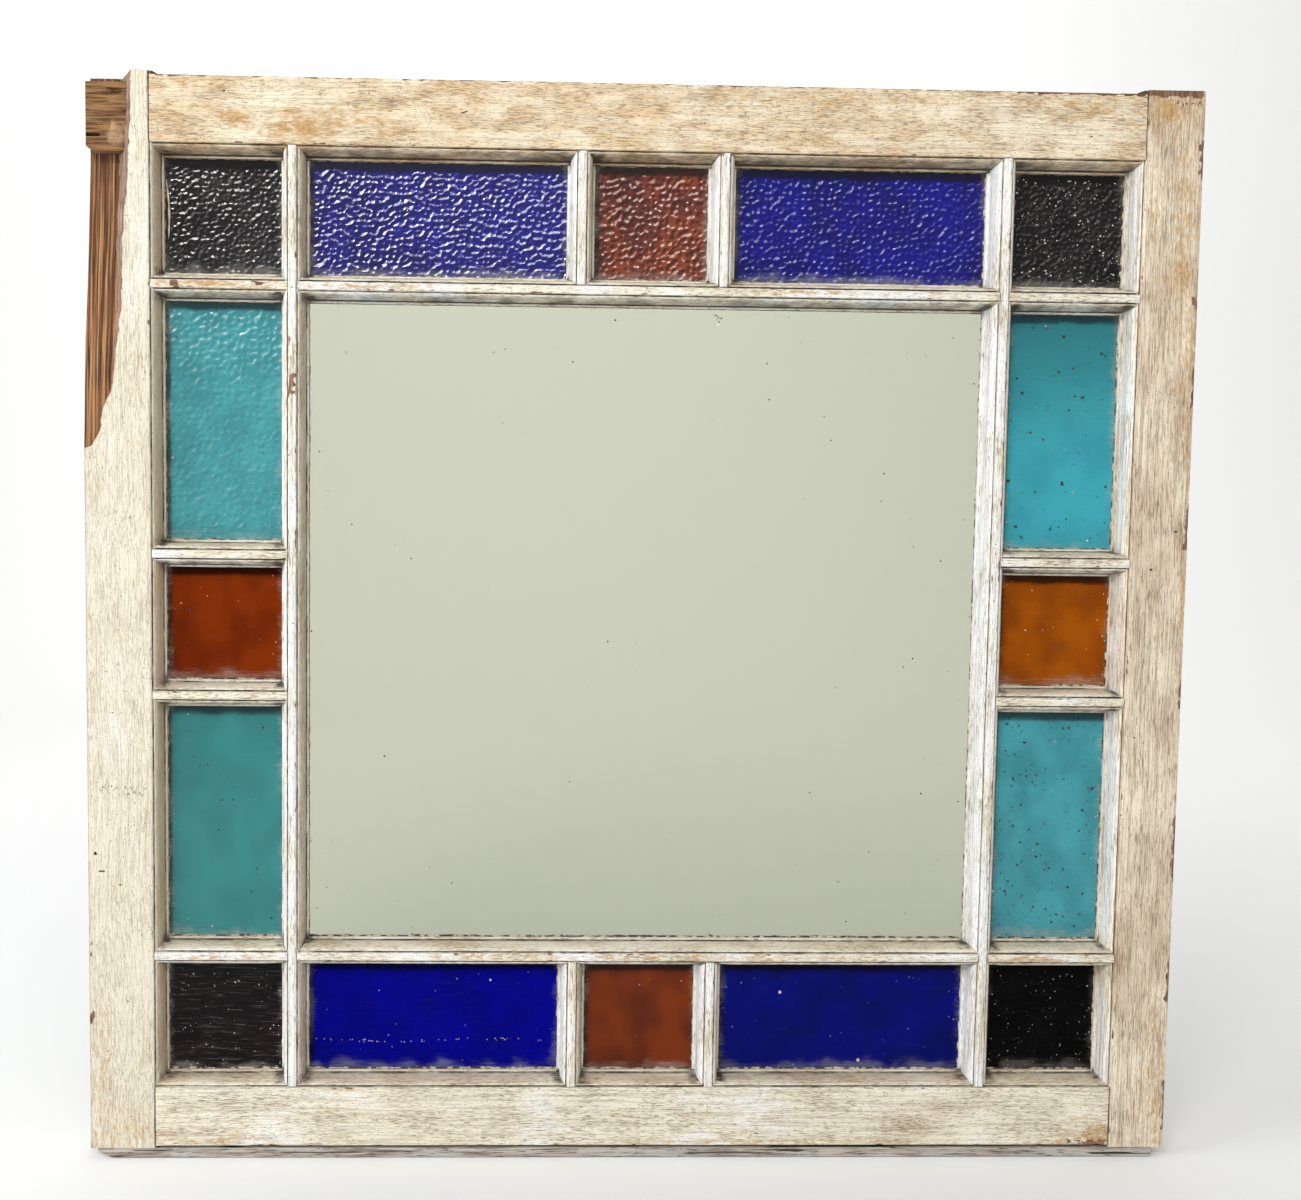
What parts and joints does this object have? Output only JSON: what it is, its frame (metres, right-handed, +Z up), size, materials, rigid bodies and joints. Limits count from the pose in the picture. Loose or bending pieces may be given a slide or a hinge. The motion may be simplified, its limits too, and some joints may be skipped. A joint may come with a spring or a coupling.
{
  "type": "stained glass window",
  "caption": "Square painted wooden window sash with a large clear pane bordered by small coloured glass panes, moulded bars and putty, with a split left stile.",
  "frame": {"origin": "middle of the underside of the packing strip, on the sill line", "axes": "+X to the right seen from the moulded face, +Y from the moulded face to the puttied back, +Z up"},
  "size_m": [0.8, 0.035, 0.7854],
  "materials": {
    "white_paint": "old cream-white gloss paint, chalky and worn at the arrises",
    "tan_paint": "old cream paint darkened to tan, streaked with brown",
    "bare_pine": "bare grey weathered softwood",
    "putty": "hard old glazing putty, painted over",
    "blue_glass": "cobalt blue cathedral glass, hammered in the top row",
    "teal_glass": "turquoise cathedral glass",
    "amber_glass": "amber-brown cathedral glass",
    "red_glass": "brown-red cathedral glass",
    "smoke_glass": "very dark purple glass",
    "clear_glass": "clear window glass with a slight green cast"
  },
  "bodies": {
    "root": {"left_stile": "white_paint", "right_stile": "tan_paint", "top_rail": "white_paint", "bottom_rail": "white_paint", "left_upright_bar": "white_paint", "right_upright_bar": "white_paint", "upper_cross_bar": "white_paint", "lower_cross_bar": "white_paint", "left_side_bar_1": "white_paint", "left_side_bar_2": "white_paint", "left_side_bar_3": "white_paint", "left_side_bar_4": "white_paint", "right_side_bar_1": "white_paint", "right_side_bar_2": "white_paint", "right_side_bar_3": "white_paint", "right_side_bar_4": "white_paint", "bottom_short_bar_1": "white_paint", "bottom_short_bar_2": "white_paint", "top_short_bar_1": "white_paint", "top_short_bar_2": "white_paint", "packing_strip": "bare_pine", "pane_bottom_left_corner": "smoke_glass", "pane_bottom_left_blue": "blue_glass", "pane_bottom_red": "red_glass", "pane_bottom_right_blue": "blue_glass", "pane_bottom_right_corner": "smoke_glass", "pane_top_left_corner": "smoke_glass", "pane_top_left_blue": "blue_glass", "pane_top_red": "red_glass", "pane_top_right_blue": "blue_glass", "pane_top_right_corner": "smoke_glass", "pane_left_lower_teal": "teal_glass", "pane_left_amber": "amber_glass", "pane_left_upper_teal": "teal_glass", "pane_right_lower_teal": "teal_glass", "pane_right_amber": "amber_glass", "pane_right_upper_teal": "teal_glass", "pane_centre_clear": "clear_glass", "putty_bottom_left_corner": "putty", "putty_bottom_left_blue": "putty", "putty_bottom_red": "putty", "putty_bottom_right_blue": "putty", "putty_bottom_right_corner": "putty", "putty_top_left_corner": "putty", "putty_top_left_blue": "putty", "putty_top_red": "putty", "putty_top_right_blue": "putty", "putty_top_right_corner": "putty", "putty_left_lower_teal": "putty", "putty_left_amber": "putty", "putty_left_upper_teal": "putty", "putty_right_lower_teal": "putty", "putty_right_amber": "putty", "putty_right_upper_teal": "putty", "putty_centre_clear": "putty"}
  },
  "joints": []
}
